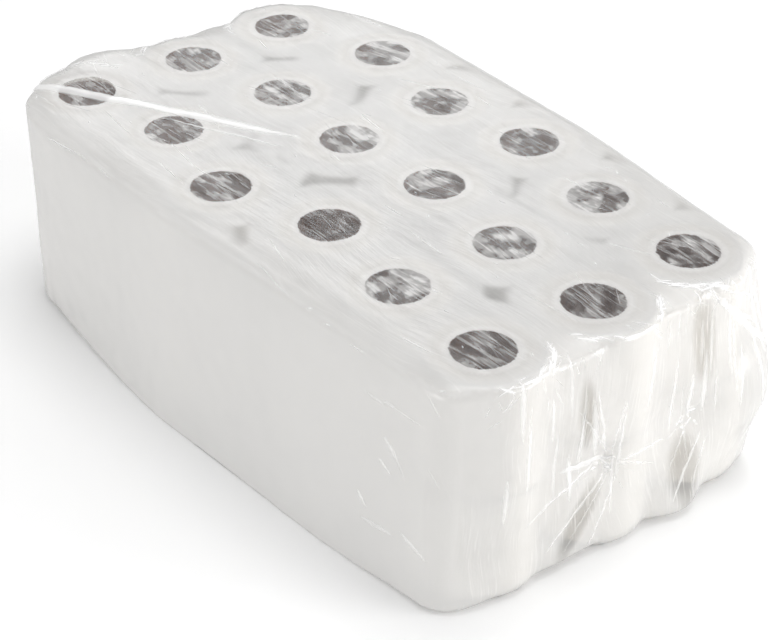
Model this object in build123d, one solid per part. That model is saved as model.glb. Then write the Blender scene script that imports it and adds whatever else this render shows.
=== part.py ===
from build123d import *
import os

# A sealed pack of toilet rolls: two layers of rolls standing on end, six rows of three in each,
# held by one tight wrap of plastic film. Each roll is wound paper on a card core.
# Frame: X along the pack's length, Y across it, Z up, origin at the middle of the underside.
# Rows are numbered 1 to 6 from -X to +X, and columns a to c from -Y to +Y. Millimetres.

# Roll
roll_diameter = 94.0
roll_height = 90.0
rim_radius = 5.0  # the soft edge round each end of a roll

# Card core
core_diameter = 48.0
core_wall = 0.8
core_clearance = 0.1  # between the core and the innermost turn of paper

# How the rolls lie
column_names = "abc"
row_gap = 1.0  # between one row and the next
column_gap = 3.0  # between one column and the next, before the shifts below
middle_shift_x = 4.0  # how far the middle column has slid along the pack
# How far each roll sits off its place in an even grid, across the pack: one row of three a line.
# The rows slip sideways past each other, and the rolls of rows 2 and 3 have worked apart.
shift_y = [
    [-13.0, -9.0, -11.0],
    [6.0, 12.0, 22.0],
    [-17.0, 5.0, 3.0],
    [11.0, 10.5, 13.0],
    [-3.0, -5.0, -6.0],
    [-9.0, -9.0, -9.0],
]
lower_spread = 5.0  # how much further out the side columns of the lower layer lie

# Film
film_thickness = 0.4
film_end_clearance = 0.3  # from the film to the end rows
film_side_slack = 6.0  # from the film to the outermost rolls of the sides
film_top_clearance = 0.2

roll_radius = roll_diameter / 2
core_radius = core_diameter / 2
row_pitch = roll_diameter + row_gap
column_pitch = roll_diameter + column_gap
row_count = len(shift_y)
column_count = len(column_names)
layer_floor = {"lower": film_thickness, "upper": film_thickness + roll_height}
stack_top = film_thickness + len(layer_floor) * roll_height
pack_height = stack_top + film_top_clearance + film_thickness


def grid_place(row, column, layer):
    """X and Y of a roll's axis before the whole pack is centred on the frame."""
    side = column - (column_count - 1) / 2
    x = (row - (row_count - 1) / 2) * row_pitch
    y = side * column_pitch + shift_y[row][column]
    if side == 0:
        x += middle_shift_x
    if layer == "lower":
        y += side * lower_spread
    return x, y


def all_places():
    return [
        (row, column, layer)
        for row in range(row_count)
        for column in range(column_count)
        for layer in layer_floor
    ]


def middle(values):
    return (min(values) + max(values)) / 2


middle_x = middle([grid_place(*place)[0] for place in all_places()])
middle_y = middle([grid_place(*place)[1] for place in all_places()])


def roll_place(row, column, layer):
    """The middle of a roll's lower end."""
    x, y = grid_place(row, column, layer)
    return Vector(x - middle_x, y - middle_y, layer_floor[layer])


def paper_roll():
    """All the turns of paper, as one tube with soft outer rims, standing on Z = 0."""
    body = extrude(Circle(roll_radius), roll_height)
    body = fillet(body.edges().filter_by(GeomType.CIRCLE), rim_radius)
    return body - extrude(Circle(core_radius + core_clearance), roll_height)


def card_core():
    """A plain card tube, as long as the roll, standing on Z = 0."""
    return extrude(Circle(core_radius) - Circle(core_radius - core_wall), roll_height)


def convex_outline(points):
    """The corners of the smallest convex outline round some points, anticlockwise."""
    points = sorted(set(points))

    def chain(run):
        kept = []
        for x, y in run:
            while len(kept) > 1:
                (ax, ay), (bx, by) = kept[-2:]
                if (bx - ax) * (y - ay) - (by - ay) * (x - ax) > 0:
                    break
                kept.pop()
            kept.append((x, y))
        return kept[:-1]

    return chain(points) + chain(points[::-1])


def film_block(inset):
    """The space inside a film surface that lies `inset` within the wrap's outer surface."""
    centres = []
    for place in all_places():
        x, y, _ = roll_place(*place)
        side = (y > 0) - (y < 0)
        centres.append((x, y + side * (film_side_slack - film_end_clearance)))
    belt = Polyline(*convex_outline(centres), close=True)
    reach = roll_radius + film_end_clearance + film_thickness - inset
    plan = offset(make_face(belt), reach, kind=Kind.ARC)
    block = extrude(plan.face(), pack_height - 2 * inset)
    edges = block.edges().group_by(Axis.Z)
    block = fillet(edges[0] + edges[-1], rim_radius + film_thickness - inset)
    return Pos(0, 0, inset) * block


def film_wrap():
    """One closed skin of film: flat above and below, rounded at the rims, tight round the ends."""
    return film_block(0) - film_block(film_thickness)


def write(shape, name):
    export_step(shape, f"parts/{name}.step")


os.makedirs("parts", exist_ok=True)
write(film_wrap(), "film_wrap")
paper = paper_roll()
core = card_core()
for row in range(row_count):
    for column in range(column_count):
        label = f"{row + 1}{column_names[column]}"
        places = {layer: Pos(roll_place(row, column, layer)) for layer in layer_floor}
        for layer, place in places.items():
            write(place * paper, f"roll_{layer}_{label}")
        write(Compound([place * core for place in places.values()]), f"cores_{label}")
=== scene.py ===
import bpy
import math
import numpy as np
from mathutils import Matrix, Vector
from mathutils import noise as mathNoise


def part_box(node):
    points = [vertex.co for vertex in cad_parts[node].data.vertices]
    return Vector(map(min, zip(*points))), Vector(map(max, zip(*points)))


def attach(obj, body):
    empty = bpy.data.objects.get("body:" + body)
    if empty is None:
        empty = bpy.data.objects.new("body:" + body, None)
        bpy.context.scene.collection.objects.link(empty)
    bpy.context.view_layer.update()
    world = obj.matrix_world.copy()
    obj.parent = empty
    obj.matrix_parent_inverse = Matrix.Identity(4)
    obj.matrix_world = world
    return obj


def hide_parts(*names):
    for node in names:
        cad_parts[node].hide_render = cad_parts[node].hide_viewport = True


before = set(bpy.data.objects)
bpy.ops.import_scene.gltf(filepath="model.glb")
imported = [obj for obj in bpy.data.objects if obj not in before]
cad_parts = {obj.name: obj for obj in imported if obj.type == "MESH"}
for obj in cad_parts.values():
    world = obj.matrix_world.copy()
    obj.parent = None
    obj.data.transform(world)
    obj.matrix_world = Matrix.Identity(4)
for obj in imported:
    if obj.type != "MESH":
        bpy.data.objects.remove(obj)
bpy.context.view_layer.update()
nodes = sorted(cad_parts)
rollNodes = [name for name in nodes if name.startswith("roll_")]
coreNodes = [name for name in nodes if name.startswith("cores_")]
print("frame loaded:", len(rollNodes), "rolls")


def newObject(name, data):
    made = bpy.data.objects.new(name, data)
    bpy.context.scene.collection.objects.link(made)
    return made


def addNode(tree, kind, inputs=None, **settings):
    node = tree.nodes.new(kind)
    for key, value in settings.items():
        setattr(node, key, value)
    for key, value in (inputs or {}).items():
        socket = node.inputs[key]
        if isinstance(value, bpy.types.NodeSocket):
            tree.links.new(value, socket)
        else:
            socket.default_value = value
    return node


def nodeOut(tree, kind, inputs=None, **settings):
    return addNode(tree, kind, inputs, **settings).outputs[0]


def mathNode(tree, operation, *values, clamp=False):
    return nodeOut(tree, "ShaderNodeMath", dict(enumerate(values)), operation=operation, use_clamp=clamp)


def product(tree, *values):
    return mathNode(tree, "MULTIPLY", *values)


def total(tree, *values):
    return mathNode(tree, "ADD", *values)


def difference(tree, *values):
    return mathNode(tree, "SUBTRACT", *values)


def vectorNode(tree, operation, *values, output="Vector"):
    node = addNode(tree, "ShaderNodeVectorMath", dict(enumerate(values)), operation=operation)
    return node.outputs[output]


def scaled(tree, vector, factor):
    return nodeOut(tree, "ShaderNodeVectorMath", {0: vector, "Scale": factor}, operation="SCALE")


def separated(tree, vector):
    return addNode(tree, "ShaderNodeSeparateXYZ", {0: vector}).outputs


def combined(tree, parts):
    return nodeOut(tree, "ShaderNodeCombineXYZ", parts)


def mixedValue(tree, share, first, second):
    return nodeOut(tree, "ShaderNodeMix", {0: share, 2: first, 3: second}, data_type="FLOAT")


def mixedColour(tree, share, first, second, way="MIX"):
    node = addNode(tree, "ShaderNodeMix", {0: share, 6: first, 7: second}, data_type="RGBA", blend_type=way)
    return node.outputs[2]


def mixedShader(tree, share, first, second):
    return nodeOut(tree, "ShaderNodeMixShader", {0: share, 1: first, 2: second})


def rampNode(tree, value, low, high, fromValue=0.0, toValue=1.0):
    node = addNode(tree, "ShaderNodeMapRange", interpolation_type="SMOOTHSTEP")
    tree.links.new(value, node.inputs["Value"])
    for key, number in (("From Min", low), ("From Max", high), ("To Min", fromValue), ("To Max", toValue)):
        node.inputs[key].default_value = number
    return node.outputs["Result"]


def noiseNode(tree, vector, scale, detail=2.0, roughness=0.5, distortion=0.0):
    return nodeOut(tree, "ShaderNodeTexNoise", {
        "Vector": vector, "Scale": scale, "Detail": detail,
        "Roughness": roughness, "Distortion": distortion})


def noiseWay(tree, vector, scale, detail):
    # a soft random way at each point
    noise = addNode(tree, "ShaderNodeTexNoise", {"Vector": vector, "Scale": scale, "Detail": detail})
    return vectorNode(tree, "SUBTRACT", noise.outputs[1], (0.5, 0.5, 0.5))


def stretched(tree, vector, turn, scale):
    return nodeOut(tree, "ShaderNodeMapping", {"Vector": vector, "Rotation": turn, "Scale": scale})


def bumpNode(tree, height, strength, distance):
    return nodeOut(tree, "ShaderNodeBump", {"Height": height, "Strength": strength, "Distance": distance})


def newMaterial(name):
    material = bpy.data.materials.new(name)
    material.use_nodes = True
    material.node_tree.nodes.clear()
    return material, material.node_tree


def setOutput(tree, shader):
    addNode(tree, "ShaderNodeOutputMaterial", {"Surface": shader})


def fact(tree, name, output="Fac"):
    return addNode(tree, "ShaderNodeAttribute", attribute_name=name).outputs[output]


paperLook = {
    "colour": (0.88, 0.852, 0.803, 1.0),
    "shade": (0.83, 0.797, 0.742, 1.0),
    "sideTint": (1.0, 0.983, 0.952, 1.0),
    "windingPitch": 0.0011,  # the turns seen on a roll's end
    "embossPitch": 0.0055,
    "embossedRound": 54,  # dimples in one turn
    "relief": 0.0006,
}


def paperMaterial():
    material, tree = newMaterial("softPaper")
    place = addNode(tree, "ShaderNodeTexCoord").outputs["Object"]
    onEnd = fact(tree, "onEnd")
    cloud = rampNode(tree, noiseNode(tree, place, 26.0, 4.0, 0.6), 0.35, 0.7)
    colour = mixedColour(tree, cloud, paperLook["colour"], paperLook["shade"])
    tint = mixedColour(tree, onEnd, paperLook["sideTint"], (1.0, 1.0, 1.0, 1.0))
    colour = mixedColour(tree, 1.0, colour, tint, "MULTIPLY")
    # the edges of the turns, uneven and a little fuzzy
    wobble = product(tree, noiseNode(tree, place, 60.0, 2.0), 0.0016)
    reach = total(tree, fact(tree, "reach"), wobble)
    turn = mathNode(tree, "DIVIDE", reach, paperLook["windingPitch"])
    rings = noiseNode(tree, combined(tree, {0: turn}), 1.0, 1.0, 0.7)
    fuzz = noiseNode(tree, place, 900.0, 1.0, 0.6)
    endHeight = total(tree, product(tree, rings, 0.7), product(tree, fuzz, 0.3))
    # embossed dimples on the side
    across = product(tree, fact(tree, "around"), 2 * math.pi * paperLook["embossedRound"])
    upward = product(tree, fact(tree, "height"), 2 * math.pi / paperLook["embossPitch"])
    dimple = product(tree, mathNode(tree, "SINE", across), mathNode(tree, "SINE", upward))
    dimple = rampNode(tree, dimple, 0.2, 0.8)
    sideHeight = total(tree, product(tree, dimple, 0.6), product(tree, fuzz, 0.4))
    relief = mixedValue(tree, onEnd, sideHeight, endHeight)
    shader = nodeOut(tree, "ShaderNodeBsdfPrincipled", {
        "Base Color": colour, "Roughness": 0.95, "Specular IOR Level": 0.2,
        "Sheen Weight": 0.15, "Sheen Roughness": 0.6,
        "Normal": bumpNode(tree, relief, 0.5, paperLook["relief"])})
    setOutput(tree, shader)
    return material


cardLook = {
    "colour": (0.44, 0.205, 0.120, 1.0),
    "dark": (0.16, 0.070, 0.042, 1.0),
    "seamPitch": 0.062,  # rise of the spiral seam in one turn
    "seamWidth": 0.018,  # as a share of that rise
    "relief": 0.0003,
}


def cardMaterial():
    material, tree = newMaterial("greyBrownCard")
    place = addNode(tree, "ShaderNodeTexCoord").outputs["Object"]
    fibre = noiseNode(tree, stretched(tree, place, (0.4, 0.2, 0.0), (900.0, 900.0, 250.0)), 1.0, 4.0, 0.65)
    mottle = noiseNode(tree, place, 70.0, 4.0, 0.6)
    grainy = total(tree, product(tree, fibre, 0.6), product(tree, mottle, 0.5))
    spiral = mathNode(tree, "DIVIDE", fact(tree, "height"), cardLook["seamPitch"])
    spiral = mathNode(tree, "FRACT", total(tree, spiral, fact(tree, "around")))
    seam = mathNode(tree, "ABSOLUTE", difference(tree, spiral, 0.5))
    seam = rampNode(tree, seam, 0.0, cardLook["seamWidth"], 1.0, 0.0)
    share = mathNode(tree, "ADD", rampNode(tree, grainy, 0.4, 0.75), seam, clamp=True)
    relief = difference(tree, grainy, product(tree, seam, 1.5))
    shader = nodeOut(tree, "ShaderNodeBsdfPrincipled", {
        "Base Color": mixedColour(tree, share, cardLook["colour"], cardLook["dark"]),
        "Roughness": 0.85, "Specular IOR Level": 0.3,
        "Normal": bumpNode(tree, relief, 0.6, cardLook["relief"])})
    setOutput(tree, shader)
    return material


def milkShader(tree, look, normal):
    cloudy = nodeOut(tree, "ShaderNodeBsdfDiffuse", {"Color": look["milk"], "Normal": normal})
    glow = nodeOut(tree, "ShaderNodeBsdfTranslucent", {"Color": look["milk"]})
    return mixedShader(tree, look["glow"], cloudy, glow)


filmLook = {
    "milk": (0.935, 0.932, 0.923, 1.0),
    "shine": 0.27,  # roughness of the gloss
    "glow": 0.35,  # share of the haze that lets light through
    "holeEdge": 0.0236,  # the rim of a core hole, from its axis
    "holeFade": 0.0014,  # how softly the haze ends there
    "holeRagged": 0.0036,  # and how unevenly
    "holeStreaks": 0.30,
    "holeWisps": 0.42,  # soft bands of haze over the holes
    "holeLean": -22,  # of those bands, in degrees
    "relief": 0.0022,
}


def filmMaterial(name):
    # "grain" runs along the film's own pulled lines, "milky" is its haze, "streaky" how much the lines
    # show, "reach" how far the nearest roll's axis is, and "overHole" the haze over that roll's core
    material, tree = newMaterial(name)
    grain = fact(tree, "grain", "Vector")

    def drawnOut(degrees, scale, detail, roughness, distortion=0.0):
        turned = stretched(tree, grain, (0, 0, math.radians(degrees)), scale)
        return noiseNode(tree, turned, 1.0, detail, roughness, distortion)

    fineA = drawnOut(0, (16.0, 360.0, 90.0), 2.0, 0.6)
    fineB = drawnOut(17, (26.0, 600.0, 120.0), 1.0, 0.6)
    streak = mathNode(tree, "MAXIMUM", rampNode(tree, fineA, 0.57, 0.72), rampNode(tree, fineB, 0.6, 0.74))
    ragged = difference(tree, drawnOut(filmLook["holeLean"], (90.0, 420.0, 60.0), 3.0, 0.7), 0.5)
    edge = total(tree, fact(tree, "reach"), product(tree, ragged, filmLook["holeRagged"]))
    hole = rampNode(tree, edge, filmLook["holeEdge"] - filmLook["holeFade"], filmLook["holeEdge"], 1.0, 0.0)
    hole = product(tree, hole, fact(tree, "onTop"))
    wisps = rampNode(tree, drawnOut(filmLook["holeLean"], (34.0, 150.0, 60.0), 4.0, 0.62, 0.5), 0.42, 0.68)
    wisps = total(tree, fact(tree, "overHole"), product(tree, wisps, filmLook["holeWisps"]))
    banks = rampNode(tree, noiseNode(tree, grain, 62.0, 2.0, 0.5), 0.38, 0.62, 0.25, 1.25)
    milky = mixedValue(tree, hole, fact(tree, "milky"), product(tree, wisps, banks))
    streaky = total(tree, fact(tree, "streaky"), product(tree, hole, filmLook["holeStreaks"]))
    hazy = mathNode(tree, "MINIMUM", total(tree, milky, product(tree, streak, streaky)), 1.0)
    ripple = total(tree, drawnOut(0, (38.0, 90.0, 60.0), 3.0, 0.55), product(tree, fineA, 0.35))
    relief = product(tree, ripple, difference(tree, 1.0, fact(tree, "calm")))
    normal = bumpNode(tree, relief, 0.8, filmLook["relief"])
    clear = nodeOut(tree, "ShaderNodeBsdfTransparent")
    milk = milkShader(tree, filmLook, normal)
    gloss = nodeOut(tree, "ShaderNodeBsdfGlossy", {"Roughness": filmLook["shine"], "Normal": normal})
    mirror = nodeOut(tree, "ShaderNodeFresnel", {"IOR": 1.5, "Normal": normal})
    setOutput(tree, mixedShader(tree, mirror, mixedShader(tree, hazy, clear, milk), gloss))
    return material


paper = paperMaterial()
card = cardMaterial()
film = filmMaterial("milkyFilm")
print("materials made")


def newTree(name, sockets):
    # rolls, cores and creases come from Geometry Nodes trees with named inputs
    tree = bpy.data.node_groups.new(name, "GeometryNodeTree")
    tree.interface.new_socket("Geometry", in_out="OUTPUT", socket_type="NodeSocketGeometry")
    for label, kind in sockets:
        tree.interface.new_socket(label, in_out="INPUT", socket_type="NodeSocket" + kind)
    return tree, tree.nodes.new("NodeGroupInput").outputs


def addTube(tree, inner, outer, height, turns, parts, rimInner, rimOuter, rimFloor):
    # a rectangle with each side cut into equal parts and its corners rounded, swept round a circle
    wall = difference(tree, outer, inner)
    middle = total(tree, inner, product(tree, wall, 0.5))
    section = nodeOut(tree, "GeometryNodeCurvePrimitiveQuadrilateral", {"Width": wall, "Height": height})
    section = nodeOut(tree, "GeometryNodeSubdivideCurve", {"Curve": section, "Cuts": parts - 1})
    side = separated(tree, nodeOut(tree, "GeometryNodeInputPosition"))
    isOuter = mathNode(tree, "GREATER_THAN", side[0], 0.0)
    isLow = mathNode(tree, "GREATER_THAN", side[1], 0.0)
    radius = mixedValue(tree, isOuter, rimInner, mixedValue(tree, isLow, rimOuter, rimFloor))
    place = mathNode(tree, "MODULO", nodeOut(tree, "GeometryNodeInputIndex"), parts)
    radius = product(tree, radius, mathNode(tree, "LESS_THAN", place, 0.5))
    rounding = {"Curve": section, "Count": 4, "Radius": radius}
    section = nodeOut(tree, "GeometryNodeFilletCurve", rounding, mode="POLY")
    circle = {"Resolution": turns, "Radius": middle}
    path = nodeOut(tree, "GeometryNodeCurvePrimitiveCircle", circle, mode="RADIUS")
    return nodeOut(tree, "GeometryNodeCurveToMesh", {"Curve": path, "Profile Curve": section})


def stored(tree, geometry, name, value, kind="FLOAT"):
    inputs = {"Geometry": geometry, "Name": name, "Value": value}
    return nodeOut(tree, "GeometryNodeStoreNamedAttribute", inputs, data_type=kind, domain="POINT")


def aroundAxis(tree, axes):
    # the share of a full turn, from 0 to 1
    angle = total(tree, mathNode(tree, "ARCTAN2", axes[1], axes[0]), math.pi)
    return mathNode(tree, "DIVIDE", angle, 2 * math.pi)


def rollTree():
    labels = ("Outer Radius", "Core Radius", "Height", "Rim Radius", "Floor Rim Radius", "Softness", "Seed")
    sockets = [(label, "Float") for label in labels]
    sockets += [("Squash", "Vector"), ("Place", "Vector"), ("Paper", "Material")]
    tree, given = newTree("paperRoll", sockets)
    rims = rollSizes["coreRim"], given["Rim Radius"], given["Floor Rim Radius"]
    tube = addTube(tree, given["Core Radius"], given["Outer Radius"], given["Height"],
                   rollSizes["facesRound"], rollSizes["facesUp"], *rims)
    spot = nodeOut(tree, "GeometryNodeInputPosition")
    axes = separated(tree, spot)
    reach = total(tree, product(tree, axes[0], axes[0]), product(tree, axes[1], axes[1]))
    reach = mathNode(tree, "SQRT", reach)
    around = aroundAxis(tree, axes)
    half = difference(tree, product(tree, given["Height"], 0.5), 0.0012)
    onEnd = mathNode(tree, "GREATER_THAN", mathNode(tree, "ABSOLUTE", axes[2]), half)
    for label, value in (("reach", reach), ("around", around), ("height", axes[2]), ("onEnd", onEnd)):
        tube = stored(tree, tube, label, value)
    # soft dents, and the step of the loose end of the paper
    shifted = vectorNode(tree, "ADD", spot, combined(tree, {0: given["Seed"], 1: given["Seed"]}))
    dent = scaled(tree, noiseWay(tree, shifted, 22.0, 3.0), given["Softness"])
    dent = vectorNode(tree, "MULTIPLY", dent, (1.0, 1.0, 0.5))
    outerShare = rampNode(tree, reach, 0.026, 0.047)
    step = product(tree, product(tree, around, -rollSizes["looseEnd"]), outerShare)
    radial = vectorNode(tree, "NORMALIZE", vectorNode(tree, "MULTIPLY", spot, (1.0, 1.0, 0.0)))
    # pressed in on the side that the film pulls on: the squash vector's way and length
    amount = vectorNode(tree, "LENGTH", given["Squash"], output="Value")
    pressWay = vectorNode(tree, "NORMALIZE", given["Squash"])
    facing = vectorNode(tree, "DOT_PRODUCT", radial, pressWay, output="Value")
    facing = mathNode(tree, "POWER", mathNode(tree, "MAXIMUM", facing, 0.0), 4.0)
    step = difference(tree, step, product(tree, product(tree, facing, amount), outerShare))
    moved = vectorNode(tree, "ADD", scaled(tree, dent, outerShare), scaled(tree, radial, step))
    soft = nodeOut(tree, "GeometryNodeSetPosition", {"Geometry": tube, "Offset": moved})
    placed = nodeOut(tree, "GeometryNodeTransform", {"Geometry": soft, "Translation": given["Place"]})
    finish(tree, placed, given["Paper"])
    return tree


def finish(tree, geometry, material):
    smoothed = nodeOut(tree, "GeometryNodeSetShadeSmooth", {"Geometry": geometry})
    real = nodeOut(tree, "GeometryNodeRealizeInstances", {"Geometry": smoothed})
    dressed = nodeOut(tree, "GeometryNodeSetMaterial", {"Geometry": real, "Material": material})
    tree.links.new(dressed, tree.nodes.new("NodeGroupOutput").inputs[0])


def fromTree(tree, name, values, points=None):
    # runs the tree on some points, or on nothing, and keeps the plain mesh that comes out
    holder = newObject(name, points if points is not None else bpy.data.meshes.new(name))
    modifier = holder.modifiers.new("build", "NODES")
    modifier.node_group = tree
    for socket in tree.interface.items_tree:
        if socket.in_out == "INPUT" and socket.name in values:
            modifier[socket.identifier] = values[socket.name]
    holder.update_tag()
    bpy.context.view_layer.update()
    mesh = bpy.data.meshes.new_from_object(holder.evaluated_get(bpy.context.evaluated_depsgraph_get()))
    holder.modifiers.clear()
    holder.data = mesh
    return holder


rollSizes = {
    "rimRadius": 0.0045,
    "floorRim": 0.010,  # of the lower rolls, whose edges are pressed on the floor
    "coreRim": 0.0004,
    "squashed": {  # which way, in degrees, and how deep
        "roll_upper_6c": (56, 0.0055), "roll_lower_6a": (-30, 0.003), "roll_upper_5c": (85, 0.0025),
        "roll_upper_1a": (-129, 0.005), "roll_lower_1a": (-129, 0.003),
    },
    "softness": 0.0012,  # how far the sides are dented
    "looseEnd": 0.0009,  # step at the paper's loose end
    "shrink": 0.0010,  # kept inside the CAD roll by this
    "coreGap": 0.0001,
    "facesRound": 96,
    "facesUp": 7,
}

rolls = {}
squash = {}
rollShape = rollTree()
rng = np.random.default_rng(7)
coreBoxLow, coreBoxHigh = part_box(coreNodes[0])
coreRadius = (coreBoxHigh.x - coreBoxLow.x) / 2
for name in rollNodes:
    low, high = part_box(name)
    middle = (low + high) / 2
    rolls[name] = (middle, high.y / 2 - low.y / 2, high.z - low.z)
    degrees, depth = rollSizes["squashed"].get(name, (0, 0))
    squash[name] = Vector((math.cos(math.radians(degrees)), math.sin(math.radians(degrees)), 0)) * depth
    piece = fromTree(rollShape, "paper_" + name, {
        "Outer Radius": rolls[name][1] - rollSizes["shrink"],
        "Core Radius": coreRadius + rollSizes["coreGap"],
        "Height": high.z - low.z - rollSizes["shrink"],
        "Rim Radius": rollSizes["rimRadius"],
        "Floor Rim Radius": rollSizes["floorRim" if "lower" in name else "rimRadius"],
        "Squash": squash[name],
        "Place": middle,
        "Softness": rollSizes["softness"],
        "Seed": rng.uniform(0, 50),
        "Paper": paper,
    })
    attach(piece, "root")
    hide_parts(name)
print("rolls made", len(piece.data.polygons), "faces each")

coreSizes = {"wall": 0.0008, "edgeSoftness": 0.0002, "lowerTurn": 2.1, "facesRound": 64, "facesUp": 2}


def coreTree():
    sockets = [(label, "Float") for label in ("Radius", "Wall", "Height", "Edge", "Turn")]
    sockets += [("Lower", "Vector"), ("Upper", "Vector"), ("Card", "Material")]
    tree, given = newTree("cardCores", sockets)
    inner = difference(tree, given["Radius"], given["Wall"])
    tube = addTube(tree, inner, given["Radius"], given["Height"],
                   coreSizes["facesRound"], coreSizes["facesUp"], *[given["Edge"]] * 3)
    axes = separated(tree, nodeOut(tree, "GeometryNodeInputPosition"))
    tube = stored(tree, tube, "around", aroundAxis(tree, axes))
    tube = stored(tree, tube, "height", axes[2])
    join = tree.nodes.new("GeometryNodeJoinGeometry")
    for label, extra in (("Upper", 0.0), ("Lower", coreSizes["lowerTurn"])):
        turned = combined(tree, {2: total(tree, given["Turn"], extra)})
        moves = {"Geometry": tube, "Rotation": turned, "Translation": given[label]}
        tree.links.new(nodeOut(tree, "GeometryNodeTransform", moves), join.inputs[0])
    finish(tree, join.outputs[0], given["Card"])
    return tree


coreShape = coreTree()
for name in coreNodes:
    place = name.split("_")[1]
    upper, lower = rolls["roll_upper_" + place], rolls["roll_lower_" + place]
    piece = fromTree(coreShape, "card_" + name, {
        "Radius": coreRadius, "Wall": coreSizes["wall"], "Edge": coreSizes["edgeSoftness"],
        "Height": upper[2], "Upper": upper[0], "Lower": lower[0],
        "Turn": rng.uniform(0, 2 * math.pi), "Card": card,
    })
    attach(piece, "root")
    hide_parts(name)
print("cores made")


filmSizes = {
    "cell": 0.0058,  # of the first, coarse net; one halving follows
    "clearance": 0.0005,  # from paper to film
    "overCore": 0.0025,  # how far in over a core the film is still held up
    "coreRim": 0.0015,  # and how rounded the edge is there
    "offFloor": 0.00005,
    "coarseSteps": 260,
    "fineSteps": 60,
    "finePress": 0.25,  # how hard the ends are drawn in then, against the coarse steps
    "longestPush": 0.012,  # that a roll gives the film in one step
    "pull": 0.5,  # how hard the film draws itself smooth at each step
}

rollCentres = np.array([list(rolls[name][0]) for name in rollNodes])
upperRolls = {name.split("_")[2]: rollCentres[k] for k, name in enumerate(rollNodes) if "_upper_" in name}
rollRadius = rolls[rollNodes[0]][1]
rollHalf = rolls[rollNodes[0]][2] / 2
rollSquash = np.array([list(squash[name]) for name in rollNodes])
rollLow = np.array(["lower" in name for name in rollNodes])
filmLow, filmHigh = (np.array(corner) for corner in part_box("film_wrap"))
packTop = filmHigh[2]


def boxNet(size, cell):
    # a closed net of square cells on a box, as corner places from -1 to 1 and quads
    counts = [max(4, int(round(extent / cell / 2)) * 2) for extent in size]
    corners, quads = {}, []

    def corner(key):
        return corners.setdefault(key, len(corners))

    for axis in range(3):
        across, up = (axis + 1) % 3, (axis + 2) % 3
        for end in (0, counts[axis]):
            for i in range(counts[across]):
                for j in range(counts[up]):
                    quad = []
                    for di, dj in ((0, 0), (1, 0), (1, 1), (0, 1)):
                        key = [0, 0, 0]
                        key[axis], key[across], key[up] = end, i + di, j + dj
                        quad.append(corner(tuple(key)))
                    quads.append(quad if end else quad[::-1])
    places = np.array(list(corners)) / np.array(counts) * 2 - 1
    return places, np.array(quads)


belt = np.linspace(-math.pi, math.pi, 1081)  # the ways round the pack, three to a degree


def outlineTable():
    # how far the rolls' tight outline lies from the middle each way round, and which way it faces there
    ways = np.stack([np.cos(belt), np.sin(belt)])
    support = (rollCentres[:, :2] @ ways).max(0) + rollRadius + filmSizes["clearance"]
    facing = np.cos(belt[:, None] - belt[None])
    reach = np.where(facing > 0.05, support[None] / np.maximum(facing, 0.05), 9.0)
    return reach.min(1), np.unwrap(belt[reach.argmin(1)])


outline, outlineFacing = outlineTable()


def firstShape(places):
    half = (filmHigh - filmLow) / 2
    plan = places[:, :2] * half[:2]
    share = np.abs(places[:, :2]).max(1)
    angles = np.arctan2(plan[:, 1], plan[:, 0])
    toEnd = half[0] / np.maximum(np.abs(np.cos(angles)), 1e-9)
    toSide = half[1] / np.maximum(np.abs(np.sin(angles)), 1e-9)
    grow = np.interp(angles, belt, outline) / np.minimum(toEnd, toSide)
    plan = plan * (1 + (grow - 1) * share)[:, None]
    return np.column_stack([plan, (places[:, 2] + 1) / 2 * packTop])


def edgesOf(quads):
    return np.sort(np.concatenate([quads[:, [k, (k + 1) % 4]] for k in range(4)]), 1)


def neighbourTable(quads, count):
    pairs = np.unique(edgesOf(quads), axis=0)
    ends = np.concatenate([pairs, pairs[:, ::-1]])
    ends = ends[np.argsort(ends[:, 0], kind="stable")]
    start = np.searchsorted(ends[:, 0], np.arange(count))
    table = np.stack([ends[np.minimum(start + k, len(ends) - 1), 1] for k in range(4)], 1)
    few = np.bincount(ends[:, 0], minlength=count) < 4
    table[few, 3] = table[few, 0]
    return table


def pointNormals(spots, quads):
    across = spots[quads[:, 2]] - spots[quads[:, 0]]
    other = spots[quads[:, 3]] - spots[quads[:, 1]]
    faces = np.repeat(np.cross(across, other), 4, axis=0)
    normals = np.stack([np.bincount(quads.ravel(), faces[:, k], len(spots)) for k in range(3)], 1)
    return normals / np.maximum(np.linalg.norm(normals, axis=1), 1e-12)[:, None]


def nearRolls(spots):
    gaps = np.linalg.norm(spots[:, None, :2] - rollCentres[None, :, :2], axis=2)
    gaps += 0.5 * np.maximum(np.abs(spots[:, None, 2] - rollCentres[None, :, 2]) - rollHalf, 0)
    return np.argsort(gaps, 1)[:, :4]


def roundedGap(out, up, radius):
    # how far points lie past a rounded edge, from how far past its two sides, and the way out of it
    out, up = out + radius, up + radius
    corner = np.hypot(np.maximum(out, 0), np.maximum(up, 0))
    safe = np.maximum(corner, 1e-9)
    wayOut = np.where(corner > 1e-9, np.maximum(out, 0) / safe, out > up)
    wayUp = np.where(corner > 1e-9, np.maximum(up, 0) / safe, out <= up)
    return corner + np.minimum(np.maximum(out, up), 0) - radius, wayOut, wayUp


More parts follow.
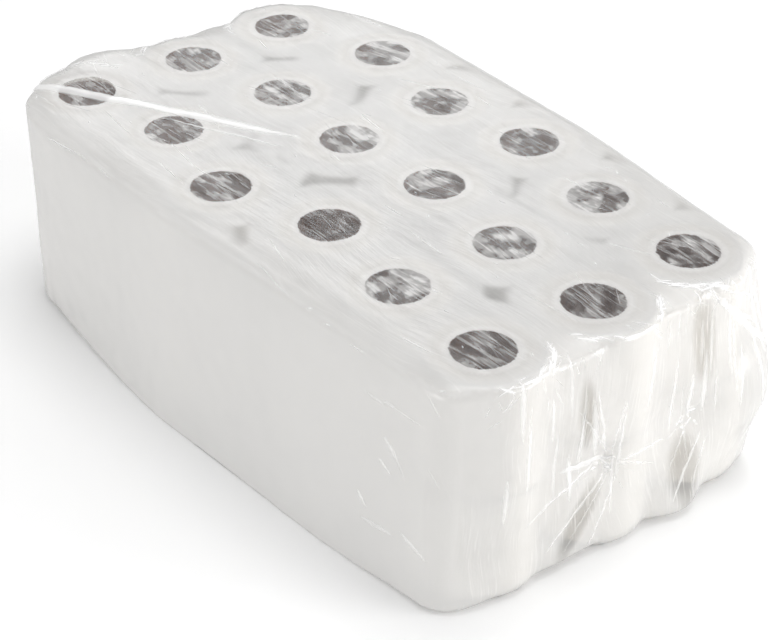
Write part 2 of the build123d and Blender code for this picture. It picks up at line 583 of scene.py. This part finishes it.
def rollGap(spots, which):
    # distance to a roll's surface and the way out of it; the core hole is open
    away = spots[:, :2] - rollCentres[which, :2]
    reach = np.maximum(np.linalg.norm(away, axis=1), 1e-9)
    depth = np.maximum(np.linalg.norm(rollSquash[which], axis=1), 1e-9)
    facing = (away * rollSquash[which, :2]).sum(1) / reach / depth
    outer = rollRadius - depth * np.maximum(facing, 0) ** 4
    inner = coreRadius - filmSizes["overCore"]
    middle, half = (outer + inner) / 2, (outer - inner) / 2
    rise = spots[:, 2] - rollCentres[which, 2]
    rim = np.where(rollLow[which] & (rise < 0), rollSizes["floorRim"], rollSizes["rimRadius"])
    rim = np.where(reach > middle, rim, filmSizes["coreRim"])
    side = np.where(reach > middle, 1.0, -1.0)
    gap, wayOut, wayUp = roundedGap(np.abs(reach - middle) - half, np.abs(rise) - rollHalf, rim)
    way = np.column_stack([away / reach[:, None] * (wayOut * side)[:, None], wayUp * np.sign(rise)])
    return gap, way


def clearOfRolls(spots, near, clearance):
    for k in range(near.shape[1]):
        gap, way = rollGap(spots, near[:, k])
        push = np.clip(clearance - gap, 0, filmSizes["longestPush"])
        spots = spots + way * push[:, None]
    spots[:, 2] = np.maximum(spots[:, 2], filmSizes["offFloor"])
    return spots


def bell(values, middle, width):
    return np.exp(-((values - middle) / width) ** 2)


def smooth(values, low, high):
    share = np.clip((values - low) / (high - low), 0, 1)
    return share * share * (3 - 2 * share)


def pastOutline(x, y):
    # how far points lie past the taut outline, their direction, and the way the outline faces there
    angle = np.arctan2(y, x)
    facing = np.interp(angle, belt, outlineFacing)
    return (np.hypot(x, y) - np.interp(angle, belt, outline)) * np.cos(angle - facing), angle, facing


slack = {
    "rounding": 0.009,  # of the film's upper edges
    "floorRounding": 0.013,  # and of the lower edges of the ends
    "topSag": 0.0022,
    "endSag": 0.014,  # how far the film may sink between the rolls of the right end
    "otherSag": 0.005,  # and of the left end
    "sideOff": 0.003,  # how far it stands off the rolls of the long sides
    "skirt": 0.0175,  # and how much further at the floor in front
    "sideFloorRounding": 0.006,
    "leftRise": 0.005,  # of the top near its left end
    "leftPull": 0.006,  # how far the near left corner is drawn in
    "rightPull": 0.003,  # and the upper part of the far right one
    "backBulge": 0.005,
    "longestPush": 0.02,  # out to the outline in one step
}
looseSpots = [  # way round the pack, width, height, tallness, and how far the film stands off there
    (0.36, 0.17, 0.080, 0.055, 0.017),  # far corner of the right end
    (-2.89, 0.15, 0.17, 0.08, 0.015),  # near corner of the left end
    (0.14, 0.09, 0.0, 0.035, 0.010),  # foot of the right end
]


def heldOff(spots):
    # keeps the film near its taut outline: loose at corners and skirt, sunk between the end rolls
    x, y, z = spots.T
    planGap, angle, facing = pastOutline(x, y)
    zGap = np.abs(z - packTop / 2) - packTop / 2
    onTop = smooth(zGap - planGap, -0.02, 0.02)
    endShare = np.cos(facing) ** 4
    waist = 0.35 + 0.65 * smooth(z, 0.01, 0.06) * (1 - 0.5 * smooth(z, 0.12, 0.175))
    sag = np.where(x > 0, slack["endSag"] * waist, slack["otherSag"])
    off = slack["sideOff"] * (1 - endShare) - sag * endShare
    skirt = (1 - smooth(z, -0.06, 0.17)) * smooth(x, -0.28, -0.04) * (1 - 0.4 * smooth(x, 0.14, 0.27))
    off += slack["skirt"] * skirt * (y < 0) * (1 - endShare) ** 2
    off += slack["backBulge"] * bell(angle, 2.52, 0.17) * smooth(z, 0.06, 0.16)
    off -= slack["leftPull"] * bell(angle, -2.62, 0.10)
    off -= slack["rightPull"] * bell(angle, 0.55, 0.25) * smooth(z, 0.13, 0.17)
    for turn, wide, height, tall, depth in looseSpots:
        share = bell(angle, turn, wide) * bell(z, height, tall)
        off = off * (1 - share) + share * depth
    rise = slack["leftRise"] * bell(np.hypot(x + 0.265, y + 0.10), 0.0, 0.06) * (z > packTop / 2)
    depth = (slack["topSag"] - rise) * onTop - off * (1 - onTop)
    low = slack["floorRounding"] * endShare + slack["sideFloorRounding"] * (1 - endShare)
    gap, wayOut, wayUp = roundedGap(planGap, zGap, np.where(z > packTop / 2, slack["rounding"], low))
    wayUp = wayUp * np.sign(z - packTop / 2)
    way = np.column_stack([np.cos(facing) * wayOut, np.sin(facing) * wayOut, wayUp])
    return spots + way * np.clip(-depth - gap, 0, slack["longestPush"])[:, None]


def pressOf(spots, normals):
    # how far each point of an end is drawn in at each step
    upright = np.abs(normals[:, 2]) < 0.6
    end = normals[:, 0] ** 2 * upright
    return -end * (0.00001 + 0.00007 * bell(spots[:, 2], packTop / 2, 0.010))


def settle(spots, quads, steps, scale):
    table = neighbourTable(quads, len(spots))
    for step in range(steps):
        if step % 20 == 0:
            near = nearRolls(spots)
            press = pressOf(spots, pointNormals(spots, quads)) * scale
        if step % 5 == 0:
            normals = pointNormals(spots, quads)
        spots = spots + (spots[table].mean(1) - spots) * filmSizes["pull"] + normals * press[:, None]
        spots = clearOfRolls(heldOff(spots), near, filmSizes["clearance"])
    return spots


def halved(spots, quads):
    # each quad becomes four
    pairs, where = np.unique(edgesOf(quads), axis=0, return_inverse=True)
    where = where.reshape(4, -1) + len(spots)
    middles = np.arange(len(quads)) + len(spots) + len(pairs)
    spots = np.concatenate([spots, spots[pairs].mean(1), spots[quads].mean(1)])
    parts = [np.stack([quads[:, k], where[k], middles, where[k - 1]], 1) for k in range(4)]
    return spots, np.concatenate(parts)


def meshOf(name, spots, quads, material):
    mesh = bpy.data.meshes.new(name)
    mesh.from_pydata(spots.tolist(), [], quads.tolist())
    mesh.materials.append(material)
    mesh.shade_smooth()
    return newObject(name, mesh)


def addFact(mesh, name, values):
    layer = mesh.attributes.new(name, "FLOAT", "POINT")
    layer.data.foreach_set("value", np.asarray(values, np.float32))


def addWays(mesh, name, values):
    layer = mesh.attributes.new(name, "FLOAT_VECTOR", "POINT")
    layer.data.foreach_set("vector", np.asarray(values, np.float32).ravel())


# where the film is gathered: place, reach of the folds, how many, their height, depth of the middle
fans = [
    ((0.285, -0.032, 0.078), 0.050, 17, 0.0006, 0.0040),
    ((0.285, 0.046, 0.080), 0.040, 15, 0.0006, 0.0020),
    ((-0.285, -0.050, 0.090), 0.060, 23, 0.0015, 0.0045),
    ((-0.285, 0.048, 0.094), 0.050, 21, 0.0013, 0.0035),
]


def wander(spots, scale, octaves, seed):
    # a noise that runs from about -1 to 1; the scale may differ from axis to axis
    moved = spots * scale + seed * 7.31
    return np.array([mathNoise.fractal(Vector(spot), 0.9, 2.1, octaves) for spot in moved.tolist()])


def gathered(spots, normals):
    # folds that fan out from each gather, and a dimple at its middle
    rise = np.zeros(len(spots))
    for place, reach, count, height, draw in fans:
        away = spots - np.array(place)
        near = (np.abs(away[:, 0]) < 0.03) * (normals[:, 0] * place[0] > 0)
        far = np.hypot(away[:, 1], away[:, 2])
        turn = np.arctan2(away[:, 2], away[:, 1])
        waver = 0.5 * np.sin(3 * turn + count) + 0.35 * np.sin(far * 90 + 2 * turn)
        ridge = 1 - np.abs(np.sin((turn * count + waver * 2) / 2))
        shape = far / reach * np.exp(1 - far / reach * 2.2) * 2.0
        rise += near * (height * shape * (ridge ** 1.5 - 0.35) - draw * np.exp(-(far / 0.013) ** 2))
    return rise


crinkles = {"rimPinches": 0.0011, "topPulls": 0.0007, "uprights": 0.0006, "dents": 0.0009}  # heights


def crinkled(spots, normals):
    # short pinches round the rims of the ends, long low pulls along the top, faint dents on the sides
    x, y, z = spots.T
    angle = np.arctan2(y, x)
    end = smooth(np.abs(x), 0.20, 0.26)
    rim = bell(z, packTop - 0.008, 0.012) + 0.6 * bell(z, 0.010, 0.012)
    pinch = wander(np.column_stack([angle, z, x]), (9, 8, 0), 2, 3)
    rise = crinkles["rimPinches"] * pinch * rim * (0.25 + end)
    top = smooth(normals[:, 2], 0.7, 0.95)
    rise += crinkles["topPulls"] * wander(spots, (5, 62, 5), 2, 11) * top
    rise += crinkles["uprights"] * wander(spots[:, [1, 0, 2]], (60, 60, 7), 2, 19) * end * (1 - top)
    rise += crinkles["dents"] * wander(spots, 16.0, 3, 23) * (1 - top)
    return rise


def makeFilm():
    places, quads = boxNet(filmHigh - filmLow, filmSizes["cell"])
    spots = settle(firstShape(places), quads, filmSizes["coarseSteps"], 1.0)
    spots, quads = halved(spots, quads)
    spots = settle(spots, quads, filmSizes["fineSteps"], filmSizes["finePress"])
    normals = pointNormals(spots, quads)
    spots = spots + normals * (gathered(spots, normals) + crinkled(spots, normals))[:, None]
    near = nearRolls(spots)
    spots = clearOfRolls(spots, near, filmSizes["clearance"] / 2)
    gap = np.min([rollGap(spots, near[:, k])[0] for k in range(near.shape[1])], 0)
    piece = meshOf("filmWrap", spots, quads, film)
    addFacts(piece.data, spots, pointNormals(spots, quads), gap)
    return piece, spots, quads


haze = {
    "side": 0.92, "end": 0.76, "window": 0.34,
    "paper": 0.70, "between": 0.93, "cusp": 0.50, "patch": 0.14, "cloud": 0.05,
}
streaks = {"top": 0.06, "end": 0.08, "window": 0.20}
calmness = {"side": 0.94, "top": 0.56, "outskirt": 0.30, "end": 0.60}  # how much of the ripple goes
holeHaze = {  # over each core hole, as the film lies tighter or looser on it
    "1a": 0.08, "2a": 0.20, "3a": 0.12, "4a": 0.08, "5a": 0.34, "6a": 0.08,
    "1b": 0.28, "2b": 0.38, "3b": 0.36, "4b": 0.30, "5b": 0.34, "6b": 0.12,
    "1c": 0.28, "2c": 0.32, "3c": 0.34, "4c": 0.20, "5c": 0.40, "6c": 0.10,
}
windows = [  # clearer film on the right end: place across and up, half size, lean in degrees
    ((0.057, 0.142), (0.013, 0.040), 5),
    ((0.043, 0.038), (0.018, 0.036), 8),
    ((-0.056, 0.038), (0.012, 0.038), -28),
    ((-0.053, 0.128), (0.008, 0.034), 4),
    ((0.127, 0.097), (0.008, 0.017), 0),
]


def axisReach(spots):
    # how far each point is from the axis of the nearest roll of its own layer, and which roll that is
    gaps = np.linalg.norm(spots[:, None, :2] - rollCentres[None, :, :2], axis=2)
    gaps += 9.0 * ((spots[:, 2] < packTop / 2)[:, None] != rollLow[None])
    return gaps.min(1), gaps.argmin(1)


def onWindows(spots):
    share = np.zeros(len(spots))
    for (across, up), (halfWide, halfTall), lean in windows:
        turn = math.radians(lean)
        y, z = spots[:, 1] - across, spots[:, 2] - up
        wide = (y * math.cos(turn) + z * math.sin(turn)) / halfWide
        tall = (z * math.cos(turn) - y * math.sin(turn)) / halfTall
        share = np.maximum(share, (1 - smooth(wide ** 2 + tall ** 2, 0.1, 1.2)) * (spots[:, 0] > 0))
    return share


def addFacts(mesh, spots, normals, gap):
    # the haze is thick on the long sides and thin over the core holes and the windows of the right end
    top = smooth(normals[:, 2], 0.6, 0.9)
    side = smooth(np.abs(normals[:, 1]), 0.10, 0.95) * (1 - top)
    end = (1 - side) * (1 - top)
    reach, nearest = axisReach(spots)
    inside = -pastOutline(spots[:, 0], spots[:, 1])[0]
    outskirt = (1 - smooth(inside, 0.004, 0.022)) * (1 - end)
    rim = smooth(reach, 0.031, 0.044) + 1 - smooth(reach, 0.0262, 0.0300)
    cloud = wander(spots, 26.0, 3, 31)
    patch = smooth(wander(spots, (22, 70, 22), 3, 43), 0.0, 0.30)
    cusp = smooth(gap, 0.0085, 0.0175) * smooth(wander(spots, 17.0, 2, 47), -0.10, 0.22) * (1 - outskirt)
    overPaper = haze["paper"] + (haze["between"] - haze["paper"]) * rim
    overPaper += (haze["side"] - overPaper) * outskirt
    window = onWindows(spots)
    milky = haze["side"] * side + end * (haze["end"] + (haze["window"] - haze["end"]) * window)
    milky += top * (overPaper + (haze["cusp"] - haze["between"]) * cusp)
    milky += haze["cloud"] * cloud * (1 - side)
    drift = np.column_stack([wander(spots, 9.0, 2, k) for k in (51, 52, 53)])
    addFact(mesh, "milky", np.clip(milky, 0.04, 0.97))
    seam = 1 - smooth(np.abs(end - 0.5), 0.08, 0.36)  # where the grain turns, nothing of it shows
    streaky = top * streaks["top"] + end * (streaks["end"] + streaks["window"] * window)
    addFact(mesh, "streaky", streaky * (1 - seam))
    addFact(mesh, "reach", reach)
    addFact(mesh, "onTop", np.abs(normals[:, 2]) > 0.6)
    overHole = np.array([holeHaze[name.split("_")[2]] for name in rollNodes])
    addFact(mesh, "overHole", overHole[nearest] + haze["patch"] * patch)
    calm = calmness["side"] * side + (calmness["top"] + calmness["outskirt"] * outskirt) * top
    calm += calmness["end"] * end
    addFact(mesh, "calm", calm + (1 - calm) * seam)
    grain = spots + drift * 0.012
    turned = end > 0.5
    grain[turned] = grain[turned][:, [2, 1, 0]]  # on the ends the streaks run up and down
    addWays(mesh, "grain", grain)


filmPiece, filmSpots, filmQuads = makeFilm()
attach(filmPiece, "root")
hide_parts("film_wrap")
print("film made", len(filmPiece.data.polygons), "faces")


creaseLook = {
    "milk": (0.97, 0.97, 0.97, 1.0),
    "glow": 0.4,
    "shine": 0.2,
    "faded": (0.04, 0.42),  # it fades out to its border over this part of its height
    "asFilm": 3.0,  # how much more it is lit as the film under it than by its own shape
}
creaseSizes = {
    "perHole": 4, "overHole": (0.014, 0.040), "onTop": 60, "topLength": (0.012, 0.06),
    "perEnd": 56, "perFan": 4, "perKnot": 12, "perRim": 30, "upright": 34, "nearCorner": 11, "paintedGlints": 60,
    "width": (0.0006, 0.0015), "height": (0.0001, 0.0003),
    "thin": 0.0001,  # before they are lifted off the film
    "endAt": 0.28,  # close to the ends, from the pack's middle
    "rings": 14, "sides": 6, "raggedness": 0.0010,
}
foldSizes = {"rings": 90, "sides": 10, "raggedness": 0.0042, "overrun": 1.12}
pleatsWithPaintedGlare = [  # the wide folds on top, drawn near-opaque white as a painted highlight band: from, to, width
    ((-0.298, -0.152), (-0.176, -0.080), 0.0130),
    ((-0.215, -0.100), (-0.078, -0.029), 0.0120),
    ((-0.165, -0.088), (-0.075, -0.046), 0.0026),
]
rimReach = {  # degrees round each end roll
    "6a": (-25, 60), "6b": (-62, 56), "6c": (-80, -15),
    "1a": (110, 200), "1b": (130, 230), "1c": (150, 250),
}
endFolds = [  # folds on the right end: from and to, across and up, then width and strength
    ((-0.030, 0.074), (-0.086, 0.026), 0.0030, 0.44), ((-0.024, 0.070), (-0.046, 0.008), 0.0022, 0.44),
    ((-0.028, 0.072), (-0.070, 0.014), 0.0015, 0.33), ((-0.030, 0.084), (-0.074, 0.088), 0.0050, 0.50),
    ((-0.036, 0.082), (-0.106, 0.058), 0.0028, 0.28), ((-0.028, 0.086), (-0.020, 0.128), 0.0020, 0.39),
    ((-0.034, 0.086), (-0.046, 0.144), 0.0022, 0.44), ((-0.030, 0.086), (-0.062, 0.134), 0.0018, 0.33),
    ((-0.022, 0.080), (0.020, 0.076), 0.0022, 0.39), ((-0.022, 0.076), (0.012, 0.058), 0.0015, 0.28),
    ((0.058, 0.064), (0.030, 0.016), 0.0035, 0.47), ((0.064, 0.060), (0.048, 0.010), 0.0022, 0.33),
    ((0.046, 0.074), (0.026, 0.044), 0.0018, 0.28), ((0.062, 0.176), (0.134, 0.096), 0.0075, 0.33),
    ((0.068, 0.170), (0.112, 0.136), 0.0042, 0.39), ((0.074, 0.176), (0.120, 0.150), 0.0025, 0.33),
]


def creaseMaterial():
    material, tree = newMaterial("foldedFilmAndGlare")
    # white slivers of film: real creases and folds, and the painted glints and glare bands of the top
    border = rampNode(tree, fact(tree, "lift"), *creaseLook["faded"])
    strength = product(tree, fact(tree, "strength"), border)
    geometry = addNode(tree, "ShaderNodeNewGeometry").outputs
    sheet = scaled(tree, fact(tree, "sheet", "Vector"), creaseLook["asFilm"])
    normal = vectorNode(tree, "NORMALIZE", vectorNode(tree, "ADD", sheet, geometry["Normal"]))
    clear = nodeOut(tree, "ShaderNodeBsdfTransparent")
    body = mixedShader(tree, strength, clear, milkShader(tree, creaseLook, normal))
    gloss = nodeOut(tree, "ShaderNodeBsdfGlossy", {"Roughness": creaseLook["shine"]})
    mirror = product(tree, nodeOut(tree, "ShaderNodeFresnel", {"IOR": 1.6, "Normal": normal}), border)
    front = mixedShader(tree, mirror, body, gloss)
    setOutput(tree, mixedShader(tree, geometry["Backfacing"], front, clear))  # only its outer face shows
    return material


def creaseTree():
    # a closed sliver of folded film at each point, bent to lie along the film under it
    tree, given = newTree("filmCreases", [
        ("Geometry", "Geometry"), ("Film", "Object"), ("Rings", "Int"), ("Sides", "Int"),
        ("Raggedness", "Float"), ("Material", "Material")])
    size = {"Segments": given["Sides"], "Rings": given["Rings"], "Radius": 0.5}
    ball = addNode(tree, "GeometryNodeMeshUVSphere", size).outputs["Mesh"]
    ball = nodeOut(tree, "GeometryNodeTransform", {"Geometry": ball, "Rotation": (0.0, math.pi / 2, 0.0)})
    spot = nodeOut(tree, "GeometryNodeInputPosition")
    ball = stored(tree, ball, "lift", separated(tree, spot)[2])
    facts = {}
    for label in ("along", "facing", "size", "tall", "lift"):
        kind = "FLOAT" if label in ("tall", "lift") else "FLOAT_VECTOR"
        facts[label] = nodeOut(tree, "GeometryNodeInputNamedAttribute", {"Name": label}, data_type=kind)
    ways = {0: facts["along"], 1: facts["facing"]}
    turn = nodeOut(tree, "FunctionNodeAxesToRotation", ways, primary_axis="X", secondary_axis="Z")
    placed = nodeOut(tree, "GeometryNodeInstanceOnPoints", {
        "Points": given["Geometry"], "Instance": ball, "Rotation": turn, "Scale": facts["size"]})
    real = nodeOut(tree, "GeometryNodeRealizeInstances", {"Geometry": placed})
    # ragged edges, from a fixed noise
    ragged = scaled(tree, noiseWay(tree, spot, 160.0, 2.0), given["Raggedness"])
    real = nodeOut(tree, "GeometryNodeSetPosition", {"Geometry": real, "Offset": ragged})
    sheet = addNode(tree, "GeometryNodeObjectInfo", {"Object": given["Film"]}).outputs["Geometry"]

    def fromFilm(value):
        nearest = {"Mesh": sheet, "Value": value}
        return nodeOut(tree, "GeometryNodeSampleNearestSurface", nearest, data_type="FLOAT_VECTOR")

    facing = fromFilm(nodeOut(tree, "GeometryNodeInputNormal"))
    rise = product(tree, total(tree, facts["lift"], 0.35), facts["tall"])
    target = vectorNode(tree, "ADD", fromFilm(spot), scaled(tree, facing, rise))
    real = stored(tree, real, "sheet", facing, "FLOAT_VECTOR")
    bent = nodeOut(tree, "GeometryNodeSetPosition", {"Geometry": real, "Position": target})
    finish(tree, bent, given["Material"])
    return tree


def creaseAndGlintSites(spots, normals):
    # places, ways, lengths, widths, heights and strengths, one line for each crease or painted glint
    rng = np.random.default_rng(21)
    draw, shake = rng.uniform, rng.normal
    sites = []

    def add(place, way, length, width=None, tall=None, strength=None):
        nearest = ((spots - place) ** 2).sum(1).argmin()
        facing, way = normals[nearest], np.array(way)
        way = way - facing * (way @ facing)
        width = draw(*creaseSizes["width"]) if width is None else width
        tall = draw(*creaseSizes["height"]) if tall is None else tall
        strength = draw(0.25, 0.75) if strength is None else strength
        sites.append((spots[nearest], way / np.linalg.norm(way), facing, length, width, tall, strength))

    def flatWay(degrees):
        return np.array([math.cos(math.radians(degrees)), math.sin(math.radians(degrees)), 0.0])

    def onTop():
        return draw(low[0], high[0]), draw(low[1], high[1]), packTop

    for middle in upperRolls.values():
        lean = shake(0, 16)
        for _ in range(creaseSizes["perHole"]):
            away = shake(0, 0.011, 2)
            place = middle[0] + away[0], middle[1] + away[1], packTop
            way, length = flatWay(lean + shake(0, 9)), draw(*creaseSizes["overHole"])
            add(place, way, length, strength=draw(0.2, 0.6))
    for roll in [roll for roll in upperRolls if roll in rimReach]:
        middle = upperRolls[roll]
        for _ in range(creaseSizes["perRim"] if roll[0] == "6" else creaseSizes["perRim"] // 2):
            turn = draw(*rimReach[roll])
            place = middle + (rollRadius + shake(-0.0012, 0.0012)) * flatWay(turn)
            place[2] = packTop - 0.0015
            way = flatWay(turn + 90 + shake(0, 22)) + np.array([0, 0, shake(0, 0.35)])
            length, width = draw(0.006, 0.018), draw(0.0010, 0.0030)
            add(place, way, length, width, 0.0010, draw(0.6, 1.0))
    low, high = spots.min(0), spots.max(0)
    for _ in range(creaseSizes["onTop"]):
        place = onTop()
        way, length = flatWay(shake(0, 12)), draw(*creaseSizes["topLength"])
        add(place, way, length, draw(0.001, 0.0035), 0.0003, draw(0.1, 0.4))
    # short near-opaque white specks on top: painted glints
    for _ in range(creaseSizes["paintedGlints"]):
        add(onTop(), flatWay(draw(-40, 40)), draw(0.003, 0.007), 0.0012, 0.0006, 0.9)
    for sign in (-1, 1):
        for _ in range(creaseSizes["perEnd"]):
            across, height = draw(-0.14, 0.14), packTop - abs(shake(0, 0.014))
            place = sign * creaseSizes["endAt"], across, height
            way = -sign * draw(0, 1.0), shake(0, 0.7), -1.0
            add(place, way, draw(0.006, 0.026), strength=draw(0.2, 0.6))
        for _ in range(creaseSizes["upright"]):
            across, height = draw(-0.13, 0.13), shake(0.110, 0.030)
            place = sign * creaseSizes["endAt"], across, height
            way, length = (0.0, shake(0, 0.06), -1.0), draw(0.035, 0.08)
            add(place, way, length, draw(0.002, 0.0065), 0.0007, draw(0.2, 0.45))
    for place, reach, *_ in fans:
        for _ in range(creaseSizes["perFan"]):
            turn, far = draw(0, 2 * math.pi), draw(0.008, 0.6 * reach)
            ray = np.array([0.0, math.cos(turn), math.sin(turn)])
            add(place + ray * far, ray, draw(0.010, 0.026), strength=draw(0.1, 0.4))
        for _ in range(creaseSizes["perKnot"]):  # the crumpled middle
            away = shake(0, 0.007, 2)
            spot = place + np.array([0.0, away[0], away[1] * 0.6])
            ray = 0.0, shake(), shake() * 0.6
            length, width = draw(0.004, 0.011), draw(0.0015, 0.0035)
            add(spot, ray, length, width, 0.0006, draw(0.2, 0.5))
    for _ in range(creaseSizes["nearCorner"]):
        place = draw(0.15, 0.27), low[1], draw(0.03, 0.17)
        way, length = (1.0, 0.0, shake(-0.6, 0.5)), draw(0.014, 0.045)
        add(place, way, length, draw(0.002, 0.006), 0.0001, draw(0.10, 0.28))
    return sites


def foldAndGlareSites(spots, normals):
    # the long folds with a place of their own, laid along the film from end to end; the top pleats are a low
    # real ridge drawn as a painted highlight band
    sites, runs = [], []
    for start, end, width in pleatsWithPaintedGlare:
        # near-opaque white along each top pleat: a painted highlight band
        runs.append(((*start, packTop), (*end, packTop), width, 0.0014, 0.95))
    for start, end, width, strength in endFolds:
        onEnd = creaseSizes["endAt"]
        runs.append(((onEnd, *start), (onEnd, *end), width, 0.0010, strength))
    for start, end, width, tall, strength in runs:
        start, end = np.array(start), np.array(end)
        middle = (start + end) / 2
        nearest = ((spots - middle) ** 2).sum(1).argmin()
        way = end - start
        length = np.linalg.norm(way)
        facing = normals[nearest] - way * (normals[nearest] @ way) / length ** 2
        facing = facing / np.linalg.norm(facing)
        overall = length * foldSizes["overrun"]
        sites.append((spots[nearest], way / length, facing, overall, width, tall, strength))
    return sites


def makeCreases(name, sites, sizes):
    places, ways, facings, lengths, widths, heights, strengths = zip(*sites)
    points = bpy.data.meshes.new(name)
    points.from_pydata([tuple(place) for place in places], [], [])
    addWays(points, "along", ways)
    addWays(points, "facing", facings)
    addWays(points, "size", [(length, width, creaseSizes["thin"]) for length, width in zip(lengths, widths)])
    addFact(points, "tall", heights)
    addFact(points, "strength", strengths)
    piece = fromTree(creaseShape, name, {
        "Film": filmPiece, "Rings": sizes["rings"], "Sides": sizes["sides"],
        "Raggedness": sizes["raggedness"], "Material": foldedFilmAndGlare}, points)
    piece.visible_shadow = False  # clear film too: it scatters light on, and darkens nothing under it
    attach(piece, "root")
    print(name, "made", len(piece.data.polygons), "faces")


foldedFilmAndGlare = creaseMaterial()
creaseShape = creaseTree()
filmNormals = pointNormals(filmSpots, filmQuads)
makeCreases("filmCreases", creaseAndGlintSites(filmSpots, filmNormals), creaseSizes)
makeCreases("filmFolds", foldAndGlareSites(filmSpots, filmNormals), foldSizes)


studio = {
    "azimuth": 50.606, "elevation": 33.542, "distance": 1.4108, "lens": 97.22,
    "target": (0.1681, -0.1343, 0.1804),
    "floor": (0.975, 0.975, 0.975, 1.0),
    "world": 0.50,
    "lampsAim": (0, 0, 0.1),
}
lamps = [  # name, place, size and watts
    ("endSide", (1.9, 1.5, 0.7), (0.9, 0.9), 20.5),
    ("endLow", (2.5, 0.95, 0.3), (0.8, 0.5), 27.5),
    ("overhead", (0.1, 0.2, 2.3), (1.2, 1.2), 19),
    ("overBack", (-0.5, 0.9, 2.1), (1.0, 1.0), 5),
    ("front", (-0.1, -2.4, 0.5), (1.6, 0.8), 20),
    ("backStrip", (-1.7, 1.2, 1.3), (1.2, 0.4), 5),
]


def makeCamera():
    around, rise = math.radians(studio["azimuth"]), math.radians(studio["elevation"])
    flat = math.cos(rise)
    back = Vector((math.sin(around) * flat, -math.cos(around) * flat, math.sin(rise)))
    camera = newObject("camera", bpy.data.cameras.new("camera"))
    camera.location = Vector(studio["target"]) + back * studio["distance"]
    camera.rotation_euler = back.to_track_quat("Z", "Y").to_euler()
    camera.data.lens = studio["lens"]
    bpy.context.scene.camera = camera


def makeFloor():
    mesh = bpy.data.meshes.new("floor")
    mesh.from_pydata([(-6, -6, 0), (6, -6, 0), (6, 6, 0), (-6, 6, 0)], [], [(0, 1, 2, 3)])
    floor = newObject("floor", mesh)
    material, tree = newMaterial("paleFloor")
    finishes = {"Base Color": studio["floor"], "Roughness": 0.9, "Specular IOR Level": 0.1}
    setOutput(tree, nodeOut(tree, "ShaderNodeBsdfPrincipled", finishes))
    mesh.materials.append(material)


def addSoftbox(name, place, size, power):
    light = bpy.data.lights.new(name, "AREA")
    light.shape, light.size, light.size_y, light.energy = "RECTANGLE", *size, power
    lamp = newObject(name, light)
    lamp.location = place
    lamp.rotation_euler = (Vector(place) - Vector(studio["lampsAim"])).to_track_quat("Z", "Y").to_euler()


def makeLight():
    world = bpy.data.worlds.new("studio")
    bpy.context.scene.world = world
    world.use_nodes = True
    back = world.node_tree.nodes["Background"]
    back.inputs["Color"].default_value = (1, 1, 1, 1)
    back.inputs["Strength"].default_value = studio["world"]
    for lamp in lamps:
        addSoftbox(*lamp)
    scene = bpy.context.scene
    scene.view_settings.view_transform = "Standard"
    scene.view_settings.look = "None"


makeCamera()
makeFloor()
makeLight()
